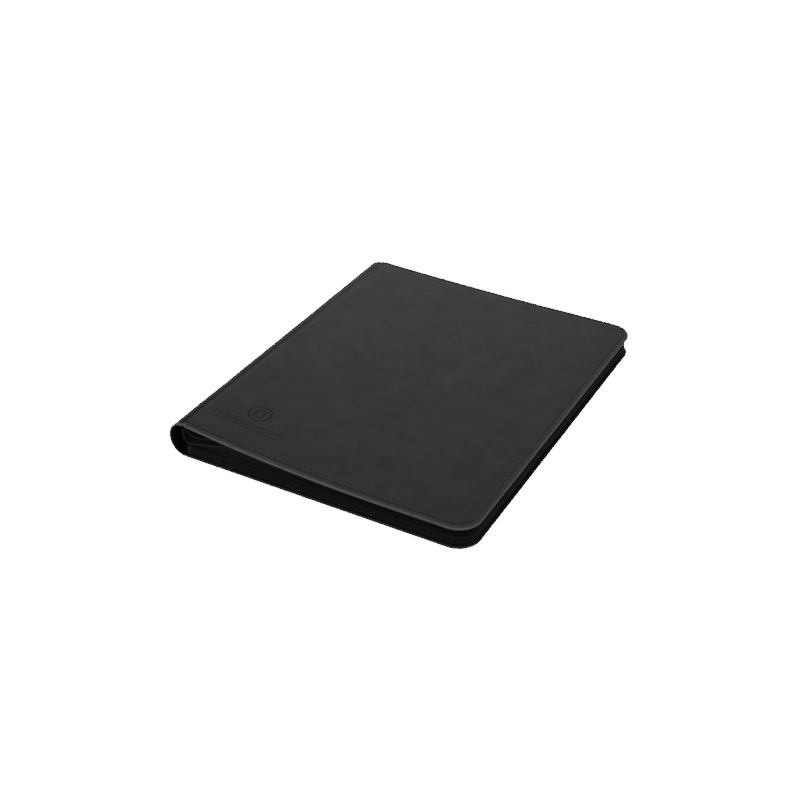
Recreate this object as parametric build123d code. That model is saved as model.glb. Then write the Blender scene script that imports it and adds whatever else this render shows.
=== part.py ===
from build123d import *
import math
import os

# Zip-up nine-pocket card binder, millimetres.  Working axes: X from the spine
# to the fore edge, Y from the tail to the head, Z up from the table.  The
# finished parts are moved so the centre of the back cover's underside is the
# origin.

# Overall sizes
SPINE_LENGTH = 345.0
COVER_REACH = 278.0
FORE_THICK_TAIL = 21.0
FORE_THICK_HEAD = 20.3
SPINE_THICK_TAIL = 33.2
SPINE_THICK_HEAD = 23.8
BULGE_TAIL = 15.0
BULGE_HEAD = 21.0

# Cover build-up
CREASE_X = 15.0
CREASE_GAP = 0.2
SKIN_T = 1.0
BOARD_T = 1.5
LINING_T = 0.5
COVER_T = SKIN_T + BOARD_T + LINING_T
CORNER_R = 20.0
HEM_W = 4.0
HEM_ROUND = 1.2
STITCH_INSET = 4.6
STITCH_W = 0.5
STITCH_SINK = 0.25
RISE_END_X = 203.0
RISE_MID_X = 108.0

# Spine wall
SPINE_SKIN_T = 1.2
SPINE_LINING_T = 0.8

# Zip
TAPE_INSET = 3.0
TAPE_T = 0.6
CHAIN_Z = 12.0
CHAIN_GAP = 1.0
CHAIN_H = 1.6
CHAIN_W = 1.3
CHAIN_START_X = 61.0
TAPE_START_X = 24.0
STOP_LEN = 3.0
SLIDER_LEN = 11.0
SLIDER_PLATE_T = 1.1
SLIDER_H = 8.0
SLIDER_FIT = 0.25
SLIDER_END_X = 252.0
BRIDGE_L = 2.0
LUG_T = 1.2
PIN_R = 0.7
PIN_FIT = 0.15
PULL_GAP = 1.2
PULL_L = 28.0
PULL_W = 7.0
PULL_T = 1.6

# Pages
PAGE_COUNT = 20
PAGE_T = 0.4
PAGE_PITCH = 0.65
PAGE_Z0 = 3.9
PAGE_L = 220.0
PAGE_H = 300.0
PAGE_CORNER_R = 3.0
ROOT_L = 18.0
ROOT_FIT = 0.3
BAR_D = 6.5
BAR_MARGIN = 0.6
WEB_T = 0.6

OFFSET_X = COVER_REACH / 2
OFFSET_Y = SPINE_LENGTH / 2
HINGE_Z = COVER_T / 2
PAGE_TOP_Z = PAGE_Z0 + PAGE_PITCH * (PAGE_COUNT - 1)
AXIS_Z = (PAGE_Z0 + PAGE_TOP_Z) / 2
AXIS_X = CREASE_X + AXIS_Z - HINGE_Z
PAGE_Y0 = (SPINE_LENGTH - PAGE_H) / 2


def plane_at(y):
    return Plane(origin=(0, y, 0), x_dir=(1, 0, 0), z_dir=(0, -1, 0))


def block(x0, x1, y0, y1, z0, z1):
    centre = ((x0 + x1) / 2, (y0 + y1) / 2, (z0 + z1) / 2)
    return Pos(*centre) * Box(x1 - x0, y1 - y0, z1 - z0)


def outline(inset, z0, z1, x0):
    """Cover outline in plan: square at the spine, rounded at the fore edge."""
    r = CORNER_R - inset
    x1 = COVER_REACH - inset
    y0 = inset
    y1 = SPINE_LENGTH - inset
    shape = Rectangle(x1 - x0, y1 - y0)
    shape = Pos((x0 + x1) / 2, (y0 + y1) / 2) * shape
    corners = shape.vertices().sort_by(Axis.X)[-2:]
    shape = fillet(corners, r)
    return extrude(Pos(0, 0, z0) * shape, amount=z1 - z0, dir=(0, 0, 1))


def top_edge(y_end, drop):
    """Front cover's upper edge at one end, lowered by drop."""
    tail = y_end == 0
    high = (SPINE_THICK_TAIL if tail else SPINE_THICK_HEAD) - drop
    low = (FORE_THICK_TAIL if tail else FORE_THICK_HEAD) - drop
    x0 = CREASE_X + CREASE_GAP
    end_x = COVER_REACH + 5
    rise = Bezier((x0, high), (RISE_MID_X, low), (RISE_END_X, low))
    run = Line((RISE_END_X, low), (end_x, low))
    return rise, run, high, low, x0, end_x


def layer_section(y_end, drop_top, drop_bottom):
    a = top_edge(y_end, drop_top)
    b = top_edge(y_end, drop_bottom)
    right = Line((a[5], a[3]), (b[5], b[3]))
    left = Line((b[4], b[2]), (a[4], a[2]))
    wires = [a[0], a[1], right, b[1], b[0], left]
    return plane_at(y_end) * make_face(wires)


def layer(drop_top, drop_bottom):
    """Ruled layer of the front cover between two depths below its top."""
    tail = layer_section(0, drop_top, drop_bottom)
    head = layer_section(SPINE_LENGTH, drop_top, drop_bottom)
    return loft([tail, head], ruled=True)


def front_layer(drop_top, drop_bottom, inset):
    plan = outline(inset, -10, 60, CREASE_X)
    return layer(drop_top, drop_bottom) & plan


def below_front():
    return layer(COVER_T, 45.0)


def hem_ring(z0, z1):
    outer = outline(0, z0, z1, CREASE_X + CREASE_GAP)
    inner = outline(HEM_W, z0 - 1, z1 + 1, CREASE_X - 5)
    return outer - inner


def stitch_line(z0, z1):
    """Continuous stitch thread: a thin upright band along the stitch line."""
    outer = outline(STITCH_INSET, z0, z1, CREASE_X + CREASE_GAP)
    inner = outline(STITCH_INSET + STITCH_W, z0 - 1, z1 + 1, CREASE_X - 5)
    return outer - inner


def back_cover():
    parts = {}
    x0 = CREASE_X + CREASE_GAP
    line = stitch_line(-1, STITCH_SINK)
    parts["back_skin"] = outline(HEM_W, 0, SKIN_T, x0) - line
    parts["back_board"] = outline(HEM_W, SKIN_T, SKIN_T + BOARD_T, x0)
    parts["back_lining"] = outline(HEM_W, SKIN_T + BOARD_T, COVER_T, x0)
    ring = hem_ring(0, COVER_T)
    rim = [e for e in ring.edges() if e.center().Z < 0.01 or e.center().Z > COVER_T - 0.01]
    rim = [e for e in rim if on_rim(e)]
    parts["back_hem"] = fillet(rim, HEM_ROUND)
    parts["back_stitching"] = stitch_line(0, STITCH_SINK)
    return parts


def on_rim(edge):
    """True for an edge on the outer outline of a cover."""
    p = edge.position_at(0.5)
    if p.X < CREASE_X + 1:
        return False
    flat = p.Y < 0.01 or p.Y > SPINE_LENGTH - 0.01 or p.X > COVER_REACH - 0.01
    cx = COVER_REACH - CORNER_R
    cy = CORNER_R if p.Y < SPINE_LENGTH / 2 else SPINE_LENGTH - CORNER_R
    reach = math.hypot(p.X - cx, p.Y - cy)
    outer = p.X > cx and (p.Y < CORNER_R or p.Y > SPINE_LENGTH - CORNER_R)
    return flat or (outer and abs(reach - CORNER_R) < 0.05)


def front_cover():
    parts = {}
    line = stitch_line(-10, 60)
    thread = layer(0, STITCH_SINK)
    parts["front_skin"] = front_layer(0, SKIN_T, HEM_W) - (line & thread)
    parts["front_board"] = front_layer(SKIN_T, SKIN_T + BOARD_T, HEM_W)
    parts["front_lining"] = front_layer(SKIN_T + BOARD_T, COVER_T, HEM_W)
    ring = layer(0, COVER_T) & hem_ring(-10, 60)
    rim = [e for e in ring.edges() if on_rim(e) and is_long(e)]
    parts["front_hem"] = fillet(rim, HEM_ROUND)
    parts["front_stitching"] = line & thread
    return parts


def is_long(edge):
    return edge.length > COVER_T + 1


def wall_band(inset, thick, z0, z1, x0):
    """Band that follows the outline on three sides."""
    outer = outline(inset, z0, z1, x0)
    inner = outline(inset + thick, z0 - 1, z1 + 1, x0 - 5)
    return outer - inner


def zip_halves():
    parts = {}
    low_top = CHAIN_Z - CHAIN_GAP / 2
    high_bottom = CHAIN_Z + CHAIN_GAP / 2
    mid = TAPE_INSET + TAPE_T / 2
    inset = mid - CHAIN_W / 2
    low_tape = wall_band(TAPE_INSET, TAPE_T, COVER_T, low_top - CHAIN_H, TAPE_START_X)
    parts["back_zip_tape"] = low_tape
    high_tape = wall_band(TAPE_INSET, TAPE_T, high_bottom + CHAIN_H, 45, TAPE_START_X)
    parts["front_zip_tape"] = high_tape & below_front()
    chain = wall_band(inset, CHAIN_W, low_top - CHAIN_H, low_top, CHAIN_START_X)
    parts["back_zip_chain"] = chain
    chain = wall_band(inset, CHAIN_W, high_bottom, high_bottom + CHAIN_H, CHAIN_START_X)
    parts["front_zip_chain"] = chain
    x0 = CHAIN_START_X - STOP_LEN
    y0 = inset - 0.3
    y1 = inset + CHAIN_W + 0.3
    box = block(x0 - 2, x0 + STOP_LEN, y0, y1, low_top - CHAIN_H, low_top + 0.8)
    box = box + block(x0 - 2, x0 + STOP_LEN - 1, y0, y1, low_top - CHAIN_H, high_bottom)
    parts["zip_box"] = box
    pin = block(x0, x0 + STOP_LEN, y0 + 0.3, y1 - 0.3, high_bottom, high_bottom + CHAIN_H)
    parts["zip_pin"] = pin
    yc = SPINE_LENGTH - mid
    x1 = CHAIN_START_X
    low = block(x1 - STOP_LEN, x1, yc - 0.65, yc + 0.65, low_top - CHAIN_H, low_top)
    parts["back_zip_stop"] = low
    high = block(x1 - STOP_LEN, x1, yc - 0.65, yc + 0.65, high_bottom, high_bottom + CHAIN_H)
    parts["front_zip_stop"] = high
    return parts


def slider():
    """Slider on the straight head run, with a lug that carries the pull."""
    parts = {}
    yc = SPINE_LENGTH - TAPE_INSET - TAPE_T / 2
    x0 = CHAIN_START_X + 0.5
    x1 = x0 + SLIDER_LEN
    z0 = CHAIN_Z - SLIDER_H / 2
    z1 = CHAIN_Z + SLIDER_H / 2
    inner = yc - CHAIN_W / 2 - SLIDER_FIT
    outer = yc + CHAIN_W / 2 + SLIDER_FIT
    body = block(x0, x1, inner - SLIDER_PLATE_T, inner, z0, z1)
    body = fillet(body.edges().filter_by(Axis.Y), 1.8)
    plate = block(x0, x1, outer, outer + SLIDER_PLATE_T, z0, z1)
    plate = fillet(plate.edges().filter_by(Axis.Y), 1.8)
    web_h = CHAIN_GAP / 2 - 0.1
    bridge = block(x0, x0 + BRIDGE_L, inner, outer, CHAIN_Z - web_h, CHAIN_Z + web_h)
    lug_y = outer + SLIDER_PLATE_T
    pin_x = (x0 + x1) / 2
    pin_y = lug_y + PIN_R + PULL_GAP
    slider_shape = body + plate + bridge
    for side in (-1, 1):
        z = CHAIN_Z + side * (1.6 + LUG_T / 2)
        lug = block(pin_x - 1.6, pin_x + 1.6, lug_y, pin_y + 1.4, z - LUG_T / 2, z + LUG_T / 2)
        slider_shape = slider_shape + lug
    pin = Pos(pin_x, pin_y, CHAIN_Z) * Cylinder(PIN_R, 5.0)
    parts["slider_body"] = slider_shape + pin
    eye_r = PIN_R + PIN_FIT
    eye = Pos(pin_x, pin_y, CHAIN_Z) * Cylinder(eye_r + 0.75, 3.0)
    stem = block(pin_x, pin_x + 6, pin_y - 0.5, pin_y + 0.5, CHAIN_Z - 1.5, CHAIN_Z + 1.5)
    bore = Pos(pin_x, pin_y, CHAIN_Z) * Cylinder(eye_r, 8.0)
    parts["pull_link"] = eye + stem - bore
    grip = block(pin_x + 6, pin_x + 6 + PULL_L, pin_y - PULL_T / 2, pin_y + PULL_T / 2,
                 CHAIN_Z - PULL_W / 2, CHAIN_Z + PULL_W / 2)
    grip = fillet(grip.edges().filter_by(Axis.Y), 2.5)
    parts["pull_grip"] = grip
    return parts


def arc_section(y, inset_out, inset_in):
    """Half-ellipse wall of the spine between two depths, at one end."""
    tail = y == 0
    bulge = BULGE_TAIL if tail else BULGE_HEAD
    half = (SPINE_THICK_TAIL if tail else SPINE_THICK_HEAD) / 2
    out_w = bulge - inset_out
    out_h = half - inset_out
    in_w = bulge - inset_in
    in_h = half - inset_in
    cx = CREASE_X
    outer = EllipticalCenterArc((cx, half), out_w, out_h, 90, arc_size=180)
    inner = EllipticalCenterArc((cx, half), in_w, in_h, 90, arc_size=180)
    top = Line((cx, half + out_h), (cx, half + in_h))
    bottom = Line((cx, half - out_h), (cx, half - in_h))
    return plane_at(y) * make_face([outer, top, inner, bottom])


def spine_layer(inset_out, inset_in):
    tail = arc_section(0, inset_out, inset_in)
    head = arc_section(SPINE_LENGTH, inset_out, inset_in)
    return loft([tail, head], ruled=True)


def spine():
    parts = {}
    wall = SPINE_SKIN_T + SPINE_LINING_T
    skin = spine_layer(0, SPINE_SKIN_T)
    lining = spine_layer(SPINE_SKIN_T, wall)
    parts["spine_skin"] = skin & block(-40, 40, HEM_W, SPINE_LENGTH - HEM_W, -5, 60)
    parts["spine_lining"] = lining & block(-40, 40, HEM_W, SPINE_LENGTH - HEM_W, -5, 60)
    whole = spine_layer(0, wall)
    parts["spine_tail_hem"] = whole & block(-40, 40, -5, HEM_W, -5, 60)
    end = SPINE_LENGTH
    parts["spine_head_hem"] = whole & block(-40, 40, end - HEM_W, end + 5, -5, 60)
    return parts


def page_outline(x0, x1):
    shape = Pos((x0 + x1) / 2, SPINE_LENGTH / 2) * Rectangle(x1 - x0, PAGE_H)
    corners = shape.vertices().sort_by(Axis.X)[-2:]
    return fillet(corners, PAGE_CORNER_R)


def pages():
    """Page block: binding bar, flexible roots and the stiff page sheets."""
    parts = {}
    y0 = PAGE_Y0
    y1 = PAGE_Y0 + PAGE_H
    bar_low = PAGE_Z0 - BAR_MARGIN
    bar_top = PAGE_TOP_Z + BAR_MARGIN
    bar_x0 = AXIS_X - BAR_D
    parts["binding_bar"] = block(bar_x0, AXIS_X, y0, y1, bar_low, bar_top)
    web_z = AXIS_Z
    web = block(-30, bar_x0, y0, y1, web_z - WEB_T / 2, web_z + WEB_T / 2)
    wall = SPINE_SKIN_T + SPINE_LINING_T
    tail = plane_at(0) * hollow_section(0, wall)
    head = plane_at(SPINE_LENGTH) * hollow_section(1, wall)
    parts["binding_web"] = web & loft([tail, head], ruled=True)
    roots = []
    for i in range(PAGE_COUNT):
        z = PAGE_TOP_Z - i * PAGE_PITCH
        roots.append(block(AXIS_X, AXIS_X + ROOT_L, y0 + 2, y1 - 2, z - 0.1, z + 0.1))
        x0 = AXIS_X + ROOT_L + ROOT_FIT
        sheet = Pos(0, 0, z - PAGE_T / 2) * page_outline(x0, x0 + PAGE_L)
        parts[f"page_{i + 1:02d}"] = extrude(sheet, amount=PAGE_T, dir=(0, 0, 1))
    parts["page_roots"] = Compound(roots)
    return parts


def hollow_section(end, wall):
    """Space inside the spine wall, closed on the page side."""
    bulge = (BULGE_TAIL, BULGE_HEAD)[end] - wall
    half = (SPINE_THICK_TAIL, SPINE_THICK_HEAD)[end] / 2
    tall = half - wall
    arc = EllipticalCenterArc((CREASE_X, half), bulge, tall, 90, arc_size=180)
    top = Line((CREASE_X, half + tall), (AXIS_X, half + tall))
    side = Line((AXIS_X, half + tall), (AXIS_X, half - tall))
    low = Line((AXIS_X, half - tall), (CREASE_X, half - tall))
    return make_face([arc, top, side, low])


def main():
    os.makedirs("parts", exist_ok=True)
    parts = {}
    for group in (back_cover, front_cover, zip_halves, slider, spine, pages):
        parts.update(group())
    for name, shape in parts.items():
        moved = Pos(-OFFSET_X, -OFFSET_Y, 0) * shape
        export_step(moved, f"parts/{name}.step")


main()
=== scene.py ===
import math

import bmesh
import bpy
from mathutils import Matrix, Vector, noise


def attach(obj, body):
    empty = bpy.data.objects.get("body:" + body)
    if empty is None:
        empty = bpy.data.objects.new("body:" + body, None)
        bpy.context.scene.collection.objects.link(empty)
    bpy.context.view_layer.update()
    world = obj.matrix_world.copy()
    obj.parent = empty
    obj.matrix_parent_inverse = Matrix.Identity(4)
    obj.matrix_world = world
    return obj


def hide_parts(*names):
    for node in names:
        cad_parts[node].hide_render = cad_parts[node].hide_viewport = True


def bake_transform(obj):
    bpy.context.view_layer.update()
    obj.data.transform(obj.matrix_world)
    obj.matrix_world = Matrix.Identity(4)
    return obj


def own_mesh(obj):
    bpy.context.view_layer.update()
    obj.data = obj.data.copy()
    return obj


# Zip-up card binder.  The workshop's own axes are millimetres: X from the
# spine to the fore edge, Y from tail to head, Z up.  finish_piece() moves
# each mesh into the row frame.

LONG = 345.0
REACH = 278.0
CORNER = 20.0
CREASE = 15.0
RISE_START = 15.2
RISE_MID = 108.0
RISE_END = 203.0
TAIL_SPINE = 33.2
HEAD_SPINE = 23.8
TAIL_FORE = 21.0
HEAD_FORE = 20.3
TAIL_BULGE = 15.0
HEAD_BULGE = 21.0
COVER = 3.0
ZIP_Z = 12.0
AXIS_X = 23.575
AXIS_Z = 10.075
PAGES = 20
PITCH = 0.65
PAGE_Z0 = 3.9
PAGE_X0 = 41.875
PAGE_X1 = 261.875
PAGE_Y0 = 22.5
PAGE_Y1 = 322.5
PAGE_MID = ((PAGE_X0 + PAGE_X1) / 2, (PAGE_Y0 + PAGE_Y1) / 2)
PAGE_SIZE = (PAGE_X1 - PAGE_X0, PAGE_Y1 - PAGE_Y0)
POCKET_SIZE = (PAGE_SIZE[0] - 8, PAGE_SIZE[1] - 12)
SPINE_WALL = 2.2
BAR_DEPTH = 6.5
HEM_END = 21.0
STITCH_INSET = 4.65
STITCH_PITCH = 3.0
STITCH_SINK = 0.30
STITCH = (1.05, 0.46, 0.30)
TAPE_INSET = 3.0
COIL_INSET = 3.3
COIL_START = 61.5
TOOTH = (0.36, 0.60, 1.55)
TOOTH_PITCH = 1.6
SEAM_Z = 12.38
LINING_INSET = 4.2
INNER_START = 16.5
ENDS = {"tail": (0.0, 1), "head": (LONG, -1)}
TO_ROW = Matrix.Scale(0.001, 4) @ Matrix.Translation((-REACH / 2, -LONG / 2, 0))

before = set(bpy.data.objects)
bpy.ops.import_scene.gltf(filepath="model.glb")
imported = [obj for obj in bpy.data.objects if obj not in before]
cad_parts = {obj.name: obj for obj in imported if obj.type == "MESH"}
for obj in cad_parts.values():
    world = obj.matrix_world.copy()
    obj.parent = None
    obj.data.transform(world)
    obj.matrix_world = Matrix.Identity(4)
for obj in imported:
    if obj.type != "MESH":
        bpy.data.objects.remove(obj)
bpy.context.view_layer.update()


def row(x, y, z):
    return tuple(TO_ROW @ Vector((x, y, z)))


# ---------------------------------------------------------------- shapes


def taper(tail, head, y):
    return tail + (head - tail) * y / LONG


def half_spine(y):
    """Half the spine's thickness."""
    return taper(TAIL_SPINE, HEAD_SPINE, y) / 2


def bulge(y):
    """How far the spine's back stands out from the creases."""
    return taper(TAIL_BULGE, HEAD_BULGE, y)


def held(value):
    """Keep a share between 0 and 1."""
    return min(max(value, 0.0), 1.0)


def between(table, at, beyond=0.0):
    """Value at a place in a table of (place, value) steps."""
    for (a, low), (b, high) in zip(table, table[1:]):
        if a <= at <= b:
            return low + (high - low) * (at - a) / (b - a)
    return beyond


def top_z(x, y):
    """Height of the front cover's upper face: flat from RISE_END, rising to the spine."""
    high = 2 * half_spine(y)
    low = taper(TAIL_FORE, HEAD_FORE, y)
    if x >= RISE_END:
        return low
    run = 2 * (RISE_MID - RISE_START)
    bend = RISE_END - RISE_START - run
    c = RISE_START - max(x, RISE_START)
    t = (math.sqrt(run ** 2 - 4 * bend * c) - run) / (2 * bend)
    return low + (high - low) * (1 - t) ** 2


def spine_point(turn, y, depth):
    """Point on the spine wall: turn runs 0 at the top crease to 1 below."""
    half = half_spine(y)
    a = math.pi * (0.5 + turn)
    return Vector((CREASE + (bulge(y) - depth) * math.cos(a), y, half + (half - depth) * math.sin(a)))


def outward(x, y):
    """Plan direction that points out of the cover at its rim."""
    if x > REACH - CORNER and y < CORNER:
        return Vector((x - REACH + CORNER, y - CORNER, 0)).normalized()
    if x > REACH - CORNER and y > LONG - CORNER:
        return Vector((x - REACH + CORNER, y - LONG + CORNER, 0)).normalized()
    if x > REACH - CORNER:
        return Vector((1, 0, 0))
    return Vector((0, -1 if y < LONG / 2 else 1, 0))


def walk(inset, pitch, x0, lead=0.0):
    """Evenly spaced points along the rim: tail run, fore run, head run."""
    r = CORNER - inset
    line = REACH - CORNER - x0
    side = LONG - 2 * CORNER
    arc = r * math.pi / 2
    total = 2 * line + 2 * arc + side
    s = lead
    while s < total:
        d = s
        if d < line:
            yield Vector((x0 + d, inset, 0)), 0.0
        elif d < line + arc:
            a = (d - line) / r
            yield Vector((REACH - CORNER + r * math.sin(a), CORNER - r * math.cos(a), 0)), a
        elif d < line + arc + side:
            yield Vector((REACH - inset, CORNER + d - line - arc, 0)), math.pi / 2
        elif d < line + 2 * arc + side:
            a = (d - line - arc - side) / r + math.pi / 2
            yield Vector((REACH - CORNER + r * math.sin(a), LONG - CORNER - r * math.cos(a), 0)), a
        else:
            d -= line + 2 * arc + side
            yield Vector((REACH - CORNER - d, LONG - inset, 0)), math.pi
        s += pitch


def outline_face(bm, inset, x0, segments=12):
    """Flat face with the cover's plan: rounded at the fore edge."""
    made = bmesh.ops.create_grid(bm, x_segments=1, y_segments=1, size=0.5)["verts"]
    wide = REACH - inset - x0
    tall = LONG - 2 * inset
    bmesh.ops.scale(bm, vec=(wide, tall, 1), verts=made)
    bmesh.ops.translate(bm, vec=(x0 + wide / 2, LONG / 2, 0), verts=made)
    fore = [v for v in made if v.co.x > REACH / 2]
    bmesh.ops.bevel(bm, geom=fore, offset=CORNER - inset, segments=segments, profile=0.5,
                    affect="VERTICES", material=-1)
    return next(iter(bm.faces))


def line_of(bm, points):
    """Open chain of edges through the points."""
    verts = [bm.verts.new(point) for point in points]
    for a, b in zip(verts, verts[1:]):
        bm.edges.new((a, b))
    return bm.edges[:]


def next_row(bm, edges):
    """Extrude a row of edges: the new row's edges and its vertices."""
    made = bmesh.ops.extrude_edge_only(bm, edges=edges)["geom"]
    verts = [g for g in made if isinstance(g, bmesh.types.BMVert)]
    fresh = set(verts)
    row_edges = [g for g in made if isinstance(g, bmesh.types.BMEdge) and fresh.issuperset(g.verts)]
    return row_edges, verts


def cut(bm, point, normal, clear=False):
    geom = bm.verts[:] + bm.edges[:] + bm.faces[:]
    made = bmesh.ops.bisect_plane(bm, geom=geom, dist=1e-4, plane_co=point, plane_no=normal,
                                  clear_inner=clear)["geom_cut"]
    return [e for e in made if isinstance(e, bmesh.types.BMEdge)]


def cut_grid(bm, x_cuts, y_cuts):
    for x in x_cuts:
        cut(bm, (x, 0, 0), (1, 0, 0))
    for y in y_cuts:
        cut(bm, (0, y, 0), (0, 1, 0))


def panel(rings_over, rings_under, x0, x_cuts, y_cuts):
    """Closed cover panel from two stacks of rings: (inset, height, edge wear and painted highlight) each.
    """
    bm = bmesh.new()
    bm.verts.layers.float.new("edge_wear_and_highlight")
    halves = []
    for rings in (rings_over, rings_under):
        part = bmesh.new()
        edge_wear_and_highlight = part.verts.layers.float.new("edge_wear_and_highlight")
        face = outline_face(part, 0, x0 - 45)
        for v in face.verts:
            v.co.z = rings[0][1]
            v[edge_wear_and_highlight] = rings[0][2]
        last = 0
        for inset, height, ring_wear_and_highlight in rings[1:]:
            bmesh.ops.inset_region(part, faces=[face], thickness=inset - last, use_even_offset=True,
                                   use_boundary=True)
            last = inset
            for v in face.verts:
                v.co.z = height
                v[edge_wear_and_highlight] = ring_wear_and_highlight
        if rings is rings_under:
            bmesh.ops.reverse_faces(part, faces=part.faces[:])
        mesh = bpy.data.meshes.new("half")
        part.to_mesh(mesh)
        part.free()
        halves.append(mesh)
    for mesh in halves:
        bm.from_mesh(mesh)
        bpy.data.meshes.remove(mesh)
    bmesh.ops.remove_doubles(bm, verts=bm.verts[:], dist=1e-3)
    open_edges = cut(bm, (x0, 0, 0), (1, 0, 0), clear=True)
    bmesh.ops.holes_fill(bm, edges=open_edges, sides=0)
    cut_grid(bm, x_cuts, y_cuts)
    return bm


def ripple(x, y, scale, seed):
    return noise.noise(Vector((x / scale, y / scale, seed)))


def finish_piece(name, bm, body, finish, replaces=(), smooth=60, outside=False):
    """Turn a workshop mesh into a piece in the row frame that rides on a body."""
    if outside:
        bmesh.ops.recalc_face_normals(bm, faces=bm.faces[:])
    bmesh.ops.transform(bm, matrix=TO_ROW, verts=bm.verts[:])
    mesh = bpy.data.meshes.new(name)
    bm.to_mesh(mesh)
    bm.free()
    mesh.shade_smooth()
    if smooth:
        mesh.set_sharp_from_angle(angle=math.radians(smooth))
    piece = bpy.data.objects.new(name, mesh)
    bpy.context.scene.collection.objects.link(piece)
    mesh.materials.append(finish)
    if body:
        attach(piece, body)
    if replaces:
        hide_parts(*replaces)
    return piece


def thicken(piece, mm, offset=-1.0):
    made = piece.modifiers.new("thickness", "SOLIDIFY")
    made.thickness = mm / 1000
    made.offset = offset
    return piece


# ------------------------------------------------------------- materials


class Wire:
    """A socket that takes part in Python arithmetic as Math nodes."""

    def __init__(self, tree, socket):
        self.tree = tree
        self.socket = socket

    def maths(self, operation, first, second=None):
        node = self.tree.nodes.new("ShaderNodeMath")
        node.operation = operation
        for slot, value in enumerate((first, second)):
            if isinstance(value, Wire):
                self.tree.links.new(value.socket, node.inputs[slot])
            elif value is not None:
                node.inputs[slot].default_value = value
        return Wire(self.tree, node.outputs[0])

    def __add__(self, other):
        return self.maths("ADD", self, other)

    def __radd__(self, other):
        return self.maths("ADD", other, self)

    def __sub__(self, other):
        return self.maths("SUBTRACT", self, other)

    def __rsub__(self, other):
        return self.maths("SUBTRACT", other, self)

    def __mul__(self, other):
        return self.maths("MULTIPLY", self, other)

    def __rmul__(self, other):
        return self.maths("MULTIPLY", other, self)

    def __truediv__(self, other):
        return self.maths("DIVIDE", self, other)

    def __pow__(self, other):
        return self.maths("POWER", self, other)

    def __neg__(self):
        return self.maths("MULTIPLY", self, -1.0)

    def __abs__(self):
        return self.maths("ABSOLUTE", self)

    def high(self, other):
        return self.maths("MAXIMUM", self, other)

    def low(self, other):
        return self.maths("MINIMUM", self, other)

    def sine(self):
        return self.maths("SINE", self)


class Finish:
    """One material: a Principled shader with whatever feeds it."""

    def __init__(self, name, **fixed):
        self.material = bpy.data.materials.new(name)
        self.material.use_nodes = True
        self.tree = self.material.node_tree
        self.shader = self.tree.nodes["Principled BSDF"]
        for key, value in fixed.items():
            self.shader.inputs[key.replace("_", " ")].default_value = value
        self.place = self.node("ShaderNodeTexCoord", out="Object")

    def node(self, kind, settings=None, inputs=None, out=0):
        made = self.tree.nodes.new(kind)
        for key, value in (settings or {}).items():
            setattr(made, key, value)
        for key, value in (inputs or {}).items():
            if isinstance(value, Wire):
                self.tree.links.new(value.socket, made.inputs[key])
            else:
                made.inputs[key].default_value = value
        return Wire(self.tree, made.outputs[out])

    def axes(self):
        made = self.tree.nodes.new("ShaderNodeSeparateXYZ")
        self.tree.links.new(self.place.socket, made.inputs[0])
        return [Wire(self.tree, s) for s in made.outputs]

    def stretched(self, scale, turn=(0, 0, 0)):
        return self.node("ShaderNodeMapping", None,
                         {"Vector": self.place, "Scale": scale, "Rotation": turn})

    def noise(self, scale, detail=3.0, rough=0.5, vector=None):
        return self.node("ShaderNodeTexNoise", None,
                         {"Vector": vector or self.place, "Scale": scale, "Detail": detail,
                          "Roughness": rough})

    def cells(self, scale, feature="F1"):
        return self.node("ShaderNodeTexVoronoi", {"feature": feature},
                         {"Vector": self.place, "Scale": scale}, out="Distance")

    def mark(self, name):
        """A value painted on the mesh."""
        return self.node("ShaderNodeAttribute", {"attribute_name": name}, out="Fac")

    def mix(self, factor, first, second):
        return self.node("ShaderNodeMix", {"data_type": "RGBA"},
                         {0: factor, 6: first, 7: second}, out=2)

    def feed(self, socket, wire):
        self.tree.links.new(wire.socket, self.shader.inputs[socket])

    def bump(self, height, distance, strength=1.0, under=None):
        inputs = {"Height": height, "Distance": distance, "Strength": strength}
        if under:
            inputs["Normal"] = under
        return self.node("ShaderNodeBump", None, inputs)


def grey(value, tint=(1.0, 1.0, 1.0)):
    return (value * tint[0], value * tint[1], value * tint[2], 1.0)


WARM = (1.04, 0.99, 0.98)


def leatherette(name, tone, device=False):
    """Matt pebbled leatherette, clouded, rubbed pale and smoother on its edges; the pale edges are partly
    a painted highlight.
    """
    f = Finish(name, Specular_IOR_Level=0.42, Sheen_Weight=0.12, Sheen_Roughness=0.45)
    pores = f.cells(1050.0)
    creases = f.noise(520.0, 5.0, 0.6)
    cloud = f.noise(9.0, 3.0, 0.55)
    rub = f.noise(45.0, 4.0, 0.6)
    shade = cloud * 0.6 + rub * 0.4
    colour = f.mix(shade, grey(tone * 0.80, WARM), grey(tone * 1.24, WARM))
    colour = f.mix(pores * 0.55, colour, grey(tone * 0.72, WARM))
    # Pale rims: partly rubbed wear, partly a painted highlight along the rounded edges.
    edge_wear_and_highlight = f.mark("edge_wear_and_highlight")
    patch = f.noise(120.0, 3.0) * 0.6 + 0.35
    colour = f.mix(edge_wear_and_highlight * patch, colour, grey(tone * 17.0, WARM))
    if device:
        x, y, _ = f.axes()
        mask = pressed_device(x, y)
        colour = f.mix(mask * 0.6, colour, grey(tone * 0.45, WARM))
    f.feed("Base Color", colour)
    f.feed("Roughness", 0.50 + rub * 0.16 + creases * 0.08 - edge_wear_and_highlight * 0.14)
    grain = pores * 0.7 + creases * 0.6
    normal = f.bump(grain, 0.00016, 0.75)
    soft = f.noise(30.0, 2.0, 0.5)
    normal = f.bump(soft, 0.0010, 0.30, under=normal)
    if device:
        normal = f.bump(-mask, 0.0016, 1.0, under=normal)
    f.feed("Normal", normal)
    return f.material


def box_distance(x, y, centre, half, radius):
    """Signed distance to a rounded rectangle in the row frame, metres."""
    dx = abs(x - centre[0]) - (half[0] - radius)
    dy = abs(y - centre[1]) - (half[1] - radius)
    outer = (dx.high(0.0) ** 2.0 + dy.high(0.0) ** 2.0) ** 0.5
    return outer + dx.high(dy).low(0.0) - radius


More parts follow.
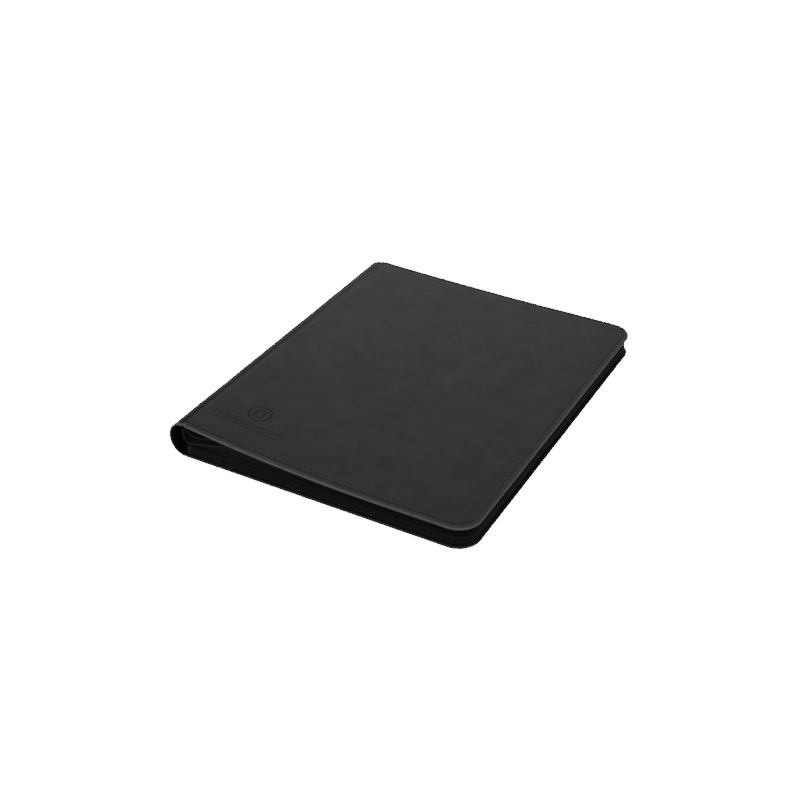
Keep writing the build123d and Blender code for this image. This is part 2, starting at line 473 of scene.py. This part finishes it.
def pressed_device(x, y):
    """Blind-pressed mark: a ring round a plain card, above two rows of plain ticks."""
    cx, cy, _ = row(58, 50, 0)
    reach = ((x - cx) ** 2.0 + (y - cy) ** 2.0) ** 0.5
    ring = 1.0 - (abs(reach - 0.0098) / 0.0007).low(1.0)
    card = box_distance(x, y, (cx, cy), (0.0036, 0.0052), 0.0009)
    card_line = 1.0 - (abs(card) / 0.0007).low(1.0)
    rows = []
    for y_mm, half, tall, pitch in ((33.0, 0.0340, 0.0020, 0.0030), (27.0, 0.0290, 0.0011, 0.0019)):
        tick_x, tick_y, _ = row(58, y_mm, 0)
        bar = box_distance(x, y, (tick_x, tick_y), (half, tall), 0.0004)
        gaps = ((x * (2 * math.pi / pitch)).sine() * 2.2 + 1.5).high(0.0).low(1.0)
        rows.append((1.0 - (bar / 0.0003).high(0.0).low(1.0)) * gaps)
    return ring.high(card_line).high(rows[0]).high(rows[1])


def thread(name, tone):
    f = Finish(name, Roughness=0.7, Sheen_Weight=0.25)
    ply = f.node("ShaderNodeTexWave", {"wave_type": "BANDS", "bands_direction": "DIAGONAL"},
                 {"Vector": f.place, "Scale": 900.0, "Distortion": 1.5})
    f.feed("Base Color", f.mix(ply, grey(tone * 0.6), grey(tone * 1.3)))
    f.feed("Normal", f.bump(ply, 0.0001, 0.8))
    return f.material


def woven(name, tone, pitch):
    """Twill tape: fine diagonal ribs crossed by weft, with lint."""
    f = Finish(name, Roughness=0.86, Specular_IOR_Level=0.25, Sheen_Weight=0.18, Sheen_Roughness=0.5)
    x, y, z = f.axes()
    k = 2 * math.pi / pitch
    along = x + y
    rib = ((along + z) * k).sine()
    weft = ((along - z * 1.7) * (k * 1.4)).sine()
    weave = rib * 0.5 + weft * 0.25 + 0.5
    lint = f.noise(1400.0, 2.0, 0.7)
    cloud = f.noise(60.0, 3.0)
    colour = f.mix(weave * 0.6 + cloud * 0.4, grey(tone * 0.55), grey(tone * 1.45))
    colour = f.mix((lint - 0.62).high(0.0) * 1.6, colour, grey(tone * 3.2))
    f.feed("Base Color", colour)
    f.feed("Normal", f.bump(weave + lint * 0.4, 0.00018, 0.8))
    return f.material


def nap(name, tone):
    """Short brushed lining."""
    f = Finish(name, Roughness=0.93, Specular_IOR_Level=0.2, Sheen_Weight=0.4, Sheen_Roughness=0.4)
    fine = f.noise(2600.0, 2.0, 0.7)
    brushed = f.noise(1.0, 4.0, 0.6, vector=f.stretched((40.0, 300.0, 40.0)))
    patch = f.noise(22.0, 3.0, 0.5)
    colour = f.mix(fine * 0.5 + patch * 0.5, grey(tone * 0.6), grey(tone * 1.5))
    f.feed("Base Color", colour)
    f.feed("Normal", f.bump(fine * 0.7 + brushed * 0.6, 0.00025, 0.6))
    return f.material


def moulded(name, tone, rough, speckle=700.0, coat=0.0):
    f = Finish(name, Coat_Weight=coat, Coat_Roughness=0.2)
    fine = f.noise(speckle, 4.0, 0.6)
    broad = f.noise(90.0, 3.0, 0.5)
    f.feed("Base Color", f.mix(broad, grey(tone * 0.7), grey(tone * 1.4)))
    f.feed("Roughness", rough + fine * 0.18 - 0.09)
    f.feed("Normal", f.bump(fine, 0.00006, 0.6))
    return f.material


def enamel(name, tone):
    """Black enamelled casting with paler, rougher rubbed streaks here and there."""
    f = Finish(name, Metallic=0.65, Coat_Weight=0.35, Coat_Roughness=0.12)
    orange_peel = f.cells(420.0, "SMOOTH_F1")
    scuff = f.noise(1.0, 5.0, 0.65, vector=f.stretched((150.0, 900.0, 150.0), (0, 0, 0.5)))
    f.feed("Base Color", f.mix((scuff - 0.5).high(0.0) * 1.4, grey(tone), grey(tone * 5.0)))
    f.feed("Roughness", 0.28 + scuff * 0.22)
    f.feed("Normal", f.bump(orange_peel, 0.00004, 0.6))
    return f.material


def millboard(name):
    f = Finish(name, Roughness=0.95)
    fibre = f.noise(1.0, 6.0, 0.7, vector=f.stretched((500.0, 90.0, 900.0)))
    fleck = f.cells(380.0)
    colour = f.mix(fibre, (0.10, 0.09, 0.075, 1), (0.23, 0.21, 0.18, 1))
    f.feed("Base Color", f.mix((0.25 - fleck).high(0.0) * 2.0, colour, (0.05, 0.045, 0.04, 1)))
    f.feed("Normal", f.bump(fibre, 0.0002, 0.6))
    return f.material


def pocket_film(name, tone):
    """Black backing under clear glossy film, with welds pressed in."""
    f = Finish(name, Specular_IOR_Level=0.5, Coat_Weight=0.8, Coat_Roughness=0.10)
    weld = f.mark("weld")
    matt = f.cells(1300.0)
    wave = f.noise(14.0, 2.0, 0.45)
    haze = f.noise(60.0, 4.0, 0.6)
    colour = f.mix(haze, grey(tone * 0.8, (1, 1, 1.04)), grey(tone * 1.5, (1, 1, 1.06)))
    colour = f.mix(weld * (0.35 + matt * 0.6), colour, grey(tone * 3.0))
    f.feed("Base Color", colour)
    f.feed("Roughness", 0.16 + weld * 0.34 + haze * 0.06)
    normal = f.bump(wave, 0.0012, 0.35)
    normal = f.bump(matt * weld, 0.00008, 0.7, under=normal)
    f.feed("Normal", normal)
    return f.material


def margin_stack(name, tone):
    """Bound edge of the pages: many thin welded margins."""
    f = Finish(name, Specular_IOR_Level=0.45)
    _, _, z = f.axes()
    layer = (z * (2 * math.pi / 0.00065)).sine() * 0.5 + 0.5
    scuff = f.noise(200.0, 4.0, 0.6)
    f.feed("Base Color", f.mix(layer * 0.7 + scuff * 0.3, grey(tone * 0.6), grey(tone * 1.8)))
    f.feed("Roughness", 0.42 + scuff * 0.25)
    f.feed("Normal", f.bump(layer + scuff * 0.3, 0.0002, 0.7))
    return f.material


SKIN_TONE = 0.0265
SKIN = leatherette("cover leatherette", SKIN_TONE)
SKIN_FRONT = leatherette("front cover leatherette", SKIN_TONE, device=True)
THREAD = thread("stitch thread", 0.15)
TAPE = woven("zip tape twill", 0.016, 0.0011)
# Pale cloth on the fold rims: a painted highlight where the folds catch the light.
FOLD_RIM_HIGHLIGHT = woven("gusset fold rim highlight cloth", 0.085, 0.0009)
FOLDED = woven("folded gusset cloth", 0.030, 0.0011)
LINING = nap("brushed lining", 0.014)
COIL = moulded("nylon coil", 0.012, 0.42, coat=0.1)
STOPS = moulded("moulded stops", 0.016, 0.45)
METAL = enamel("black enamel", 0.018)
GRIP = moulded("soft pull grip", 0.020, 0.62, 1500.0)
BOARD = millboard("grey millboard")
FILM = pocket_film("pocket page film", 0.016)
ROOT_FILM = moulded("flexible page margin", 0.017, 0.38, 240.0, coat=0.3)
BINDING = margin_stack("welded margins", 0.016)


# ----------------------------------------------------------------- covers

# Third column: edge wear and painted highlight on the rounded rim.
OVER = [
    (0.0, -1.50, 0.9), (0.08, -1.00, 1.0), (0.30, -0.48, 1.0), (0.70, -0.10, 0.6), (1.20, 0.08, 0.15),
    (1.75, 0.04, 0.0), (2.30, -0.16, 0.0), (3.00, -0.27, 0.0), (3.90, -0.27, 0.0), (4.40, -0.44, 0.0),
    (4.90, -0.46, 0.0), (5.40, -0.26, 0.0), (6.50, -0.07, 0.1), (8.20, 0.0, 0.0), (12.0, 0.02, 0.0),
    (18.0, 0.02, 0.0),
]
UNDER = [
    (0.0, -1.50, 0.9), (0.10, -2.00, 0.4), (0.45, -2.55, 0.1), (1.10, -2.88, 0.0), (2.20, -3.00, 0.0),
    (3.80, -3.00, 0.0), (4.30, -2.72, 0.0), (9.0, -2.60, 0.0),
]
X_CUTS = [22 + 7.5 * i for i in range(26)] + [225, 245]
Y_CUTS = [15 * i for i in range(1, 23)]


def front_panel():
    bm = panel(OVER, UNDER, 17.0, X_CUTS, Y_CUTS)
    for v in bm.verts:
        x, y, _ = v.co
        upper = v.co.z > -1.4
        swell = 0.30 * ripple(x, y, 70.0, 3.1) + 0.10 * ripple(x, y, 21.0, 8.7)
        edge = min(x - 17, REACH - x, y, LONG - y)
        v.co.z += top_z(x, y)
        if upper:
            v.co.z += swell * held((edge - 6) / 20)
            v.co.z += 0.05 * math.sin(x * 2.1 + y * 2.1) * (1 if 4 < edge < 6.5 else 0)
    return bm


def back_panel():
    bm = panel(OVER, UNDER, 17.0, [60, 100, 140, 180, 220], [60, 120, 172, 230, 290])
    for v in bm.verts:
        v.co.z = max(-v.co.z, 0.0) if v.co.z > -1.5 else -v.co.z
    bmesh.ops.reverse_faces(bm, faces=bm.faces[:])
    return bm


finish_piece("front_cover_wrap", front_panel(), "front_cover", SKIN_FRONT,
             ("front_skin", "front_hem"), outside=True)
finish_piece("back_cover_wrap", back_panel(), "back_cover", SKIN,
             ("back_skin", "back_hem"), outside=True)


def bead(bm, place, sizes):
    """Small faceted bead: one stitch or one coil tooth."""
    bmesh.ops.create_icosphere(bm, subdivisions=1, radius=1, matrix=place @ Matrix.Diagonal((*sizes, 1)))


def stitches(name, body, height, node, slant=0.30):
    bm = bmesh.new()
    for at, heading in walk(STITCH_INSET, STITCH_PITCH, HEM_END):
        place = Matrix.Translation((at.x, at.y, height(at.x, at.y)))
        bead(bm, place @ Matrix.Rotation(heading + slant, 4, "Z"), STITCH)
    return finish_piece(name, bm, body, THREAD, (node,), smooth=0)


stitches("front_cover_stitches", "front_cover", lambda x, y: top_z(x, y) - STITCH_SINK, "front_stitching")
stitches("back_cover_stitches", "back_cover", lambda x, y: STITCH_SINK, "back_stitching", -0.30)


def lining_sheet(name, body, height, node):
    """Thin lining inside the hem, a touch padded."""
    bm = bmesh.new()
    face = outline_face(bm, LINING_INSET, INNER_START)
    for inset in (0.6, 1.2, 3.6, 6.0):
        bmesh.ops.inset_region(bm, faces=[face], thickness=inset, use_even_offset=True,
                               use_boundary=True)
    cut_grid(bm, X_CUTS, Y_CUTS[::2])
    for v in bm.verts:
        x, y, _ = v.co
        edge = min(REACH - x, y, LONG - y) - LINING_INSET
        v.co.z = height(x, y, held(edge / 2.0))
    piece = finish_piece(name, bm, body, LINING, (node,))
    thicken(piece, 0.4, -1.0 if body == "back_cover" else 1.0)


lining_sheet("front_cover_lining", "front_cover",
             lambda x, y, e: top_z(x, y) - COVER + 0.30 - 0.32 * e, "front_lining")
lining_sheet("back_cover_lining", "back_cover",
             lambda x, y, e: COVER - 0.30 + 0.32 * e, "back_lining")


# ------------------------------------------------------------------ spine


def spine_shell(depth, y0, y1, turns, rows):
    """Open shell that follows the spine from the top crease round below."""
    bm = bmesh.new()
    edges = line_of(bm, [(0.035 + 0.93 * c / turns, 0, 0) for c in range(turns + 1)])
    for r in range(1, rows + 1):
        edges, verts = next_row(bm, edges)
        for v in verts:
            v.co.y = r / rows
    for v in bm.verts:
        v.co = spine_point(v.co.x, y0 + (y1 - y0) * v.co.y, depth)
    return bm


HEM_ROLL = [(0.0, 1.5), (0.08, 1.0), (0.3, 0.48), (0.7, 0.10), (1.2, -0.08), (1.75, -0.04), (2.3, 0.16),
            (3.0, 0.27), (3.9, 0.27), (4.4, 0.44), (4.9, 0.46), (5.4, 0.26), (6.5, 0.07), (8.2, 0.0)]


def hem_sink(y):
    """How far the turned edge at either end lies below the plain surface."""
    return between(HEM_ROLL, min(y, LONG - y))


def groove(x, y):
    """Pressed line beside the spine: it drifts outward toward the head."""
    line = 13.3 - 5.6 * y / LONG
    press = math.exp(-((x - line) / 0.68) ** 2)
    ridge = math.exp(-((x - line - 1.8) / 0.8) ** 2)
    return 1.2 * press - 0.25 * ridge


def spine_wrap():
    bm = spine_shell(0.0, 0.0, LONG, 110, 60)
    for y in [d for d, _ in HEM_ROLL[1:]]:
        cut(bm, (0, y, 0), (0, 1, 0))
        cut(bm, (0, LONG - y, 0), (0, 1, 0))
    edge_wear_and_highlight = bm.verts.layers.float.new("edge_wear_and_highlight")
    for v in bm.verts:
        end = min(v.co.y, LONG - v.co.y)
        half = half_spine(v.co.y)
        middle = Vector((CREASE, v.co.y, half))
        inward = (middle - v.co).normalized()
        sink = hem_sink(v.co.y)
        if v.co.z > half:
            sink += groove(v.co.x, v.co.y)
        sink += 0.16 * ripple(v.co.y, v.co.z * 3, 32.0, 5.5) * min(end / 12, 1)
        v.co += inward * sink
        # Pale spine ends: partly rubbed wear, partly a painted highlight.
        v[edge_wear_and_highlight] = 0.8 if end < 1.6 else 0.0
    return bm


def at_spine(bm):
    """Faces of a spine shell turned to look outwards."""
    bmesh.ops.recalc_face_normals(bm, faces=bm.faces[:])
    face = max(bm.faces, key=lambda f: -f.calc_center_median().x)
    if face.normal.x > 0:
        bmesh.ops.reverse_faces(bm, faces=bm.faces[:])
    return bm


def flatten(piece):
    """Give a soft spine piece its own copy of its mesh."""
    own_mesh(piece)


spine_skin = finish_piece("spine_wrap", at_spine(spine_wrap()), "spine", SKIN,
                          ("spine_skin", "spine_tail_hem", "spine_head_hem"))
thicken(spine_skin, 1.2)
spine_inside = finish_piece("spine_lining_cloth", at_spine(spine_shell(1.25, 3.0, LONG - 3.0, 32, 30)),
                            "spine", LINING, ("spine_lining",))
thicken(spine_inside, 0.7)


def spine_stitches():
    bm = bmesh.new()
    for y in (STITCH_INSET, LONG - STITCH_INSET):
        for i in range(15):
            turn = 0.06 + 0.88 * i / 14
            at = spine_point(turn, y, STITCH_SINK)
            heading = (spine_point(turn + 0.01, y, STITCH_SINK) - at).normalized()
            bead(bm, Matrix.Translation(at) @ heading.to_track_quat("X", "Y").to_matrix().to_4x4(), STITCH)
    return bm


def binding_cloth():
    """Cloth that ties the binding bar to the inside of the spine, waved along its length."""
    bm = bmesh.new()
    bmesh.ops.create_grid(bm, x_segments=10, y_segments=60, size=0.5)
    for v in bm.verts:
        across = v.co.x + 0.5
        y = LONG / 2 + v.co.y * (PAGE_Y1 - PAGE_Y0 - 1)
        half = half_spine(y)
        inside = math.sqrt(1 - ((AXIS_Z - half) / (half - SPINE_WALL)) ** 2)
        wall = CREASE - (bulge(y) - SPINE_WALL) * inside
        bar = AXIS_X - BAR_DEPTH
        wave = 0.7 * math.sin(math.pi * across) * ripple(across * 9, y, 26.0, 4.4)
        v.co = (wall + (bar - wall) * across, y, AXIS_Z + wave)
    return bm


spine_thread = finish_piece("spine_stitches", spine_stitches(), "spine", THREAD, smooth=0)
web = finish_piece("binding_cloth", binding_cloth(), "spine", LINING, ("binding_web",))
thicken(web, 0.5, 0.0)
for soft in (spine_skin, spine_inside, spine_thread, web):
    flatten(soft)

# The crease strips overlap the spine wrap and the covers from CREASE_IN to CREASE_OUT.
CREASE_IN = 12.2
CREASE_OUT = 18.6
CREASE_XS = [CREASE_IN, 12.7] + [13.0 + 0.25 * i for i in range(18)] + [17.6, 18.1, CREASE_OUT]


def crease(over):
    """Pressed groove where a cover meets the spine; over is the front cover's."""
    bm = bmesh.new()
    _, far_end = next_row(bm, line_of(bm, [(x, 0, 0) for x in CREASE_XS]))
    bmesh.ops.translate(bm, vec=(0, LONG, 0), verts=far_end)
    for y in [d for d, _ in HEM_ROLL[1:]] + Y_CUTS:
        cut(bm, (0, y, 0), (0, 1, 0))
        if y < 10:
            cut(bm, (0, LONG - y, 0), (0, 1, 0))
    edge_wear_and_highlight = bm.verts.layers.float.new("edge_wear_and_highlight")
    for v in bm.verts:
        x, y, _ = v.co
        edge = min(x - CREASE_IN, CREASE_OUT - x)
        sink = hem_sink(y) + 0.35 - 0.41 * min(edge / 0.8, 1)
        sink += groove(x, y) if over else 0.8 * math.exp(-((x - CREASE) / 0.6) ** 2)
        high = 2 * half_spine(y)
        fall = 0.0
        if x < CREASE:
            fall = high / 2 * (1 - math.sqrt(1 - ((CREASE - x) / bulge(y)) ** 2))
        if over:
            face = top_z(x, y) if x > CREASE else high
            v.co.z = face - fall - sink
        else:
            v.co.z = max(fall + sink, 0.0)
        # Pale ends and a pale strip beside the groove: partly rubbed wear, partly a painted highlight.
        v[edge_wear_and_highlight] = 0.8 if min(y, LONG - y) < 1.3 else 0.10 if 16 < x < 18 else 0.0
    return bm


def face_up(bm, up):
    bmesh.ops.recalc_face_normals(bm, faces=bm.faces[:])
    face = next(f for f in bm.faces if abs(f.normal.z) > 0.8)
    if (face.normal.z > 0) != up:
        bmesh.ops.reverse_faces(bm, faces=bm.faces[:])
    return bm


front_crease = finish_piece("front_crease", face_up(crease(True), True), None, SKIN)
thicken(front_crease, 1.5)
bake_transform(front_crease)
back_crease = finish_piece("back_crease", face_up(crease(False), False), None, SKIN)
thicken(back_crease, 1.5)
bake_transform(back_crease)


# -------------------------------------------------------------- zip gusset


def bell(*offsets):
    """Smooth bump that is 1 at the middle; offsets are (distance, width) pairs."""
    return math.exp(-sum((gap / width) ** 2 for gap, width in offsets))


def under_cover(x, y):
    """Height where the upper tape meets the front cover."""
    return top_z(x, y) - COVER + 0.15


def tuck_in(x, y, z):
    """How far the cloth is drawn in: at the zip's start, and by the near fore corner."""
    start = 2.3 * bell((x - 57, 1.5), (z - 12.3, 1.2), (y, 12))
    corner = 2.6 * bell((x - 266.5, 4), (y - 5, 4), (z - 16.4, 1.7))
    puff = 1.1 * bell((x - 275, 4), (y - 25, 7), (z - 15.5, 2.2))
    return start + corner - puff


def gusset(levels, bow, x_cuts, top=None):
    """Three-sided wall; levels are heights or, with top, shares of the way up from it."""
    bm = bmesh.new()
    face = outline_face(bm, TAPE_INSET, INNER_START - 30)
    bmesh.ops.delete(bm, geom=[face], context="FACES_ONLY")
    edges = bm.edges[:]
    for v in bm.verts:
        v.co.z = levels[0]
    for level in levels[1:]:
        edges, verts = next_row(bm, edges)
        for v in verts:
            v.co.z = level
    cut(bm, (INNER_START, 0, 0), (1, 0, 0), clear=True)
    cut_grid(bm, x_cuts + [54.5, 55.8, 57.0, 58.2, 59.5, 61.0], Y_CUTS[::2] + [22, 26])
    for v in bm.verts:
        share = v.co.z
        if top:
            v.co.z = top + (under_cover(v.co.x, v.co.y) - top) * share
        pull = bow(share, v.co.x, v.co.y) - tuck_in(v.co.x, v.co.y, v.co.z)
        v.co += outward(v.co.x, v.co.y) * pull
        if v.co.x < 58 and share == levels[-1] and not top:
            v.co.z = 12.3
    return bm


def low_bow(z, x, y):
    near = held((z - 8.4) / 1.2)
    full = 1.35 if y < LONG / 2 and x < REACH - CORNER else 0.35
    swell = full * math.sin(math.pi * held((z - 2.7) / 7.2))
    return 0.50 * near + swell + 0.14 * ripple(x, y, 14.0, 2.0)


def high_bow(share, x, y):
    near = held((0.30 - share) / 0.16)
    up = held((share - 0.2) / 0.8)
    sag = -2.0 * min(up / 0.6, 1) if x > REACH - 5 else -0.7 * math.sin(math.pi * up)
    return 0.50 * near + sag + 0.12 * ripple(x, y, 14.0, 6.0)


def face_out(bm):
    bmesh.ops.recalc_face_normals(bm, faces=bm.faces[:])
    face = max(bm.faces, key=lambda f: f.calc_center_median().x)
    if face.normal.x < 0:
        bmesh.ops.reverse_faces(bm, faces=bm.faces[:])
    return bm


low_levels = [2.7, 4.0, 5.5, 7.0, 8.4, 9.0, 9.6, 10.4, 11.2, 11.62]
low_tape = finish_piece("lower_zip_tape", face_out(gusset(low_levels, low_bow, X_CUTS)),
                        "back_cover", TAPE, ("back_zip_tape",))
thicken(low_tape, 0.2)
high_levels = [0.0, 0.05, 0.12, 0.2, 0.3, 0.42, 0.56, 0.72, 0.88, 1.0]


def loose_edge(bm):
    """Near the spine the upper tape hangs free: its edge falls from the cover."""
    for v in bm.verts:
        if v.co.x < 62 and min(v.co.y, LONG - v.co.y) < 10:
            v.co.z = SEAM_Z + (v.co.z - SEAM_Z) * ((v.co.x - 14) / 48) ** 1.6
    return bm


high_wall = loose_edge(gusset(high_levels, high_bow, [19, 23, 26] + X_CUTS[1:], top=SEAM_Z))
high_tape = finish_piece("upper_zip_tape", face_out(high_wall), "front_cover", TAPE,
                         ("front_zip_tape",))
thicken(high_tape, 0.2)


def fold_z(x, share, end):
    """Height at a share of the gap between the zip and the front cover."""
    return ZIP_Z + (top_z(x, end) - COVER - ZIP_Z) * share


def fold_cloth(name, line, y0, y1, finish, roll):
    """Strip of gusset cloth along a line in X and share of height, at both ends."""
    for side, (end, inward) in ENDS.items():
        bm = bmesh.new()
        edges = line_of(bm, [(x, end + inward * y0, fold_z(x, share, end)) for x, share in line])
        for step in range(1, 7):
            edges, verts = next_row(bm, edges)
            lift = roll * (math.sin(math.pi * step / 12) - math.sin(math.pi * (step - 1) / 12))
            bmesh.ops.translate(bm, vec=(0, inward * (y1 - y0) / 6, lift), verts=verts)
        piece = finish_piece(f"{name}_{side}", face_up(bm, True), "front_cover", finish)
        thicken(piece, 0.5, 0.0)
        smooth = piece.modifiers.new("smooth", "SUBSURF")
        smooth.levels = 2
        smooth.render_levels = 2


OUTER_FOLD = [(12.6, 0.86), (12.9, 0.60), (13.6, 0.32), (15.4, 0.10), (19.0, 0.06), (24.0, 0.12),
              (31.0, 0.24), (40.0, 0.42), (47.0, 0.56), (56.0, 0.84), (64.0, 1.0)]
INNER_FOLD = [(14.4, 0.78), (17.4, 0.60), (23.0, 0.50), (30.0, 0.55), (38.0, 0.70), (46.0, 0.88),
              (54.0, 1.0)]
fold_cloth("gusset_fold", OUTER_FOLD, 2.6, 7.5, FOLDED, 1.6)
# Pale strips on both fold rims paint the highlight along the fold edges.
fold_cloth("gusset_fold_rim_highlight", OUTER_FOLD, 2.1, 3.1, FOLD_RIM_HIGHLIGHT, 0.5)
fold_cloth("inner_fold", INNER_FOLD, 4.0, 16.0, FOLDED, 1.2)
fold_cloth("inner_fold_rim_highlight", INNER_FOLD, 3.6, 4.5, FOLD_RIM_HIGHLIGHT, 0.4)


def fold_tuck(side, end, inward):
    """Cloth between the two folds: it hollows inwards from one to the other."""
    bm = bmesh.new()
    edges = line_of(bm, [(15.2 + 1.94 * i, 0, 0) for i in range(20)])
    for step in range(1, 7):
        edges, verts = next_row(bm, edges)
        for v in verts:
            v.co.y = step / 6
    for v in bm.verts:
        x, t, _ = v.co
        low = fold_z(x, between(OUTER_FOLD, x), end) + 1.2
        high = fold_z(x, between(INNER_FOLD, x, 1.0), end)
        crumple = 0.35 * ripple(x, 9 * t, 9.0, end + 0.5)
        depth = 6.6 - 2.3 * t + 2.2 * math.sin(math.pi * t) + crumple
        v.co = (x, end + inward * depth, low + (max(high, low + 0.3) - low) * t)
    piece = finish_piece(f"gusset_tuck_{side}", bm, "front_cover", FOLDED)
    thicken(piece, 0.3, 0.0)


for side, (end, inward) in ENDS.items():
    fold_tuck(side, end, inward)


def teeth(name, body, side, node):
    """One half of the coil; the upper half starts half a pitch later."""
    bm = bmesh.new()
    lead = TOOTH_PITCH / 2 if side > 0 else 0.0
    for at, heading in walk(COIL_INSET, TOOTH_PITCH, COIL_START, lead):
        place = Matrix.Translation((at.x, at.y, ZIP_Z + side * 1.02))
        bead(bm, place @ Matrix.Rotation(heading, 4, "Z"), TOOTH)
    return finish_piece(name, bm, body, COIL, (node,), smooth=0)


teeth("lower_coil", "back_cover", -1, "back_zip_chain")
teeth("upper_coil", "front_cover", 1, "front_zip_chain")


# ------------------------------------------------------------------ pages


def page_z(index):
    return PAGE_Z0 + PITCH * (PAGES - index)


def page(index):
    """Nine-pocket page: black backing, a raised film over each pocket, both sides."""
    bm = bmesh.new()
    weld = bm.verts.layers.float.new("weld")
    bmesh.ops.create_grid(bm, x_segments=3, y_segments=3, size=0.5)
    bmesh.ops.scale(bm, vec=(*POCKET_SIZE, 1), verts=bm.verts[:])
    bmesh.ops.translate(bm, vec=(*PAGE_MID, 0.12), verts=bm.verts[:])
    for v in bm.verts:
        v[weld] = 1.0
    cells = bm.faces[:]
    bmesh.ops.inset_individual(bm, faces=cells, thickness=1.1, use_even_offset=True)
    bmesh.ops.inset_individual(bm, faces=cells, thickness=1.6, depth=0.07, use_even_offset=True)
    for f in cells:
        for v in f.verts:
            v[weld] = 0.0
    rim = [e for e in bm.edges if len(e.link_faces) == 1]
    _, outer = next_row(bm, rim)
    for v in outer:
        for axis in (0, 1):
            spread = PAGE_SIZE[axis] / POCKET_SIZE[axis]
            v.co[axis] = PAGE_MID[axis] + (v.co[axis] - PAGE_MID[axis]) * spread
        v.co.z = 0.02
        v[weld] = 0.6
    bmesh.ops.mirror(bm, geom=bm.verts[:] + bm.edges[:] + bm.faces[:], axis="Z", merge_dist=0.05)
    bmesh.ops.translate(bm, vec=(0, 0, page_z(index)), verts=bm.verts[:])
    return bm


def margin(index):
    """Flexible strip from the binding bar to its page."""
    bm = bmesh.new()
    bmesh.ops.create_grid(bm, x_segments=12, y_segments=3, size=0.5)
    bmesh.ops.scale(bm, vec=(PAGE_X0 - AXIS_X + 0.6, PAGE_SIZE[1] - 4, 1), verts=bm.verts[:])
    bmesh.ops.translate(bm, vec=((PAGE_X0 + AXIS_X) / 2, LONG / 2, page_z(index)), verts=bm.verts[:])
    return bm


for i in range(1, PAGES + 1):
    tag = f"{i:02d}"
    finish_piece(f"pocket_page_{tag}", page(i), f"leaf_{tag}", FILM, (f"page_{tag}",),
                 smooth=20, outside=True)

for i in range(1, PAGES + 1):
    tag = f"{i:02d}"
    piece = finish_piece(f"page_margin_{tag}", margin(i), None, ROOT_FILM, ("page_roots",),
                         smooth=0)
    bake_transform(piece)

for name, finish in {
    "front_board": BOARD, "back_board": BOARD, "binding_bar": BINDING, "slider_body": METAL,
    "pull_link": METAL, "pull_grip": GRIP, "back_zip_stop": STOPS, "front_zip_stop": STOPS,
    "zip_box": STOPS, "zip_pin": STOPS,
}.items():
    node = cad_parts[name]
    node.data.materials.clear()
    node.data.materials.append(finish)


# ---------------------------------------------------------------- the room


def area_light(name, place, target, size, power):
    data = bpy.data.lights.new(name, "AREA")
    data.shape = "RECTANGLE"
    data.size = size[0]
    data.size_y = size[1]
    data.energy = power
    lamp = bpy.data.objects.new(name, data)
    lamp.location = place
    lamp.rotation_euler = (Vector(target) - Vector(place)).to_track_quat("-Z", "Y").to_euler()
    bpy.context.scene.collection.objects.link(lamp)


area_light("back_softbox", (-0.85, 1.55, 0.95), (0, 0.1, 0), (1.5, 0.8), 8.2)
area_light("left_softbox", (-1.4, -0.1, 1.2), (0, 0, 0), (0.9, 0.9), 3.2)
area_light("front_softbox", (0.3, -1.5, 1.3), (0, 0, 0), (0.9, 0.6), 2)

# How bright the room looks to the camera alone: it shows as pure white.
WHITE = 16.0
world = bpy.data.worlds.new("white room")
world.use_nodes = True
room = world.node_tree
sky = room.nodes["Background"]
sky.inputs["Color"].default_value = (1, 1, 1, 1)
seen = Wire(room, room.nodes.new("ShaderNodeLightPath").outputs["Is Camera Ray"])
room.links.new((seen * WHITE + 0.19).socket, sky.inputs["Strength"])
bpy.context.scene.world = world

floor_bm = bmesh.new()
bmesh.ops.create_grid(floor_bm, x_segments=1, y_segments=1, size=4.0)
floor_mesh = bpy.data.meshes.new("floor")
floor_bm.to_mesh(floor_mesh)
floor_bm.free()
floor = bpy.data.objects.new("floor", floor_mesh)
floor.location = (0, 0, -0.0002)
bpy.context.scene.collection.objects.link(floor)
paper = Finish("pale paper", Roughness=0.9)
paper.feed("Base Color", paper.mix(paper.noise(3.0), grey(0.86), grey(0.88)))
paper.shader.inputs["Emission Color"].default_value = (1, 1, 1, 1)
paper.feed("Emission Strength", paper.node("ShaderNodeLightPath") * WHITE)
floor_mesh.materials.append(paper.material)

lens = bpy.data.cameras.new("camera")
lens.lens = 60.02
lens.sensor_width = 36
camera = bpy.data.objects.new("camera", lens)
forward = Vector((-0.4018, 0.7312, -0.5512)).normalized()
camera.location = (0.4640, -0.8727, 0.6494)
camera.rotation_euler = forward.to_track_quat("-Z", "Y").to_euler()
bpy.context.scene.collection.objects.link(camera)
bpy.context.scene.camera = camera
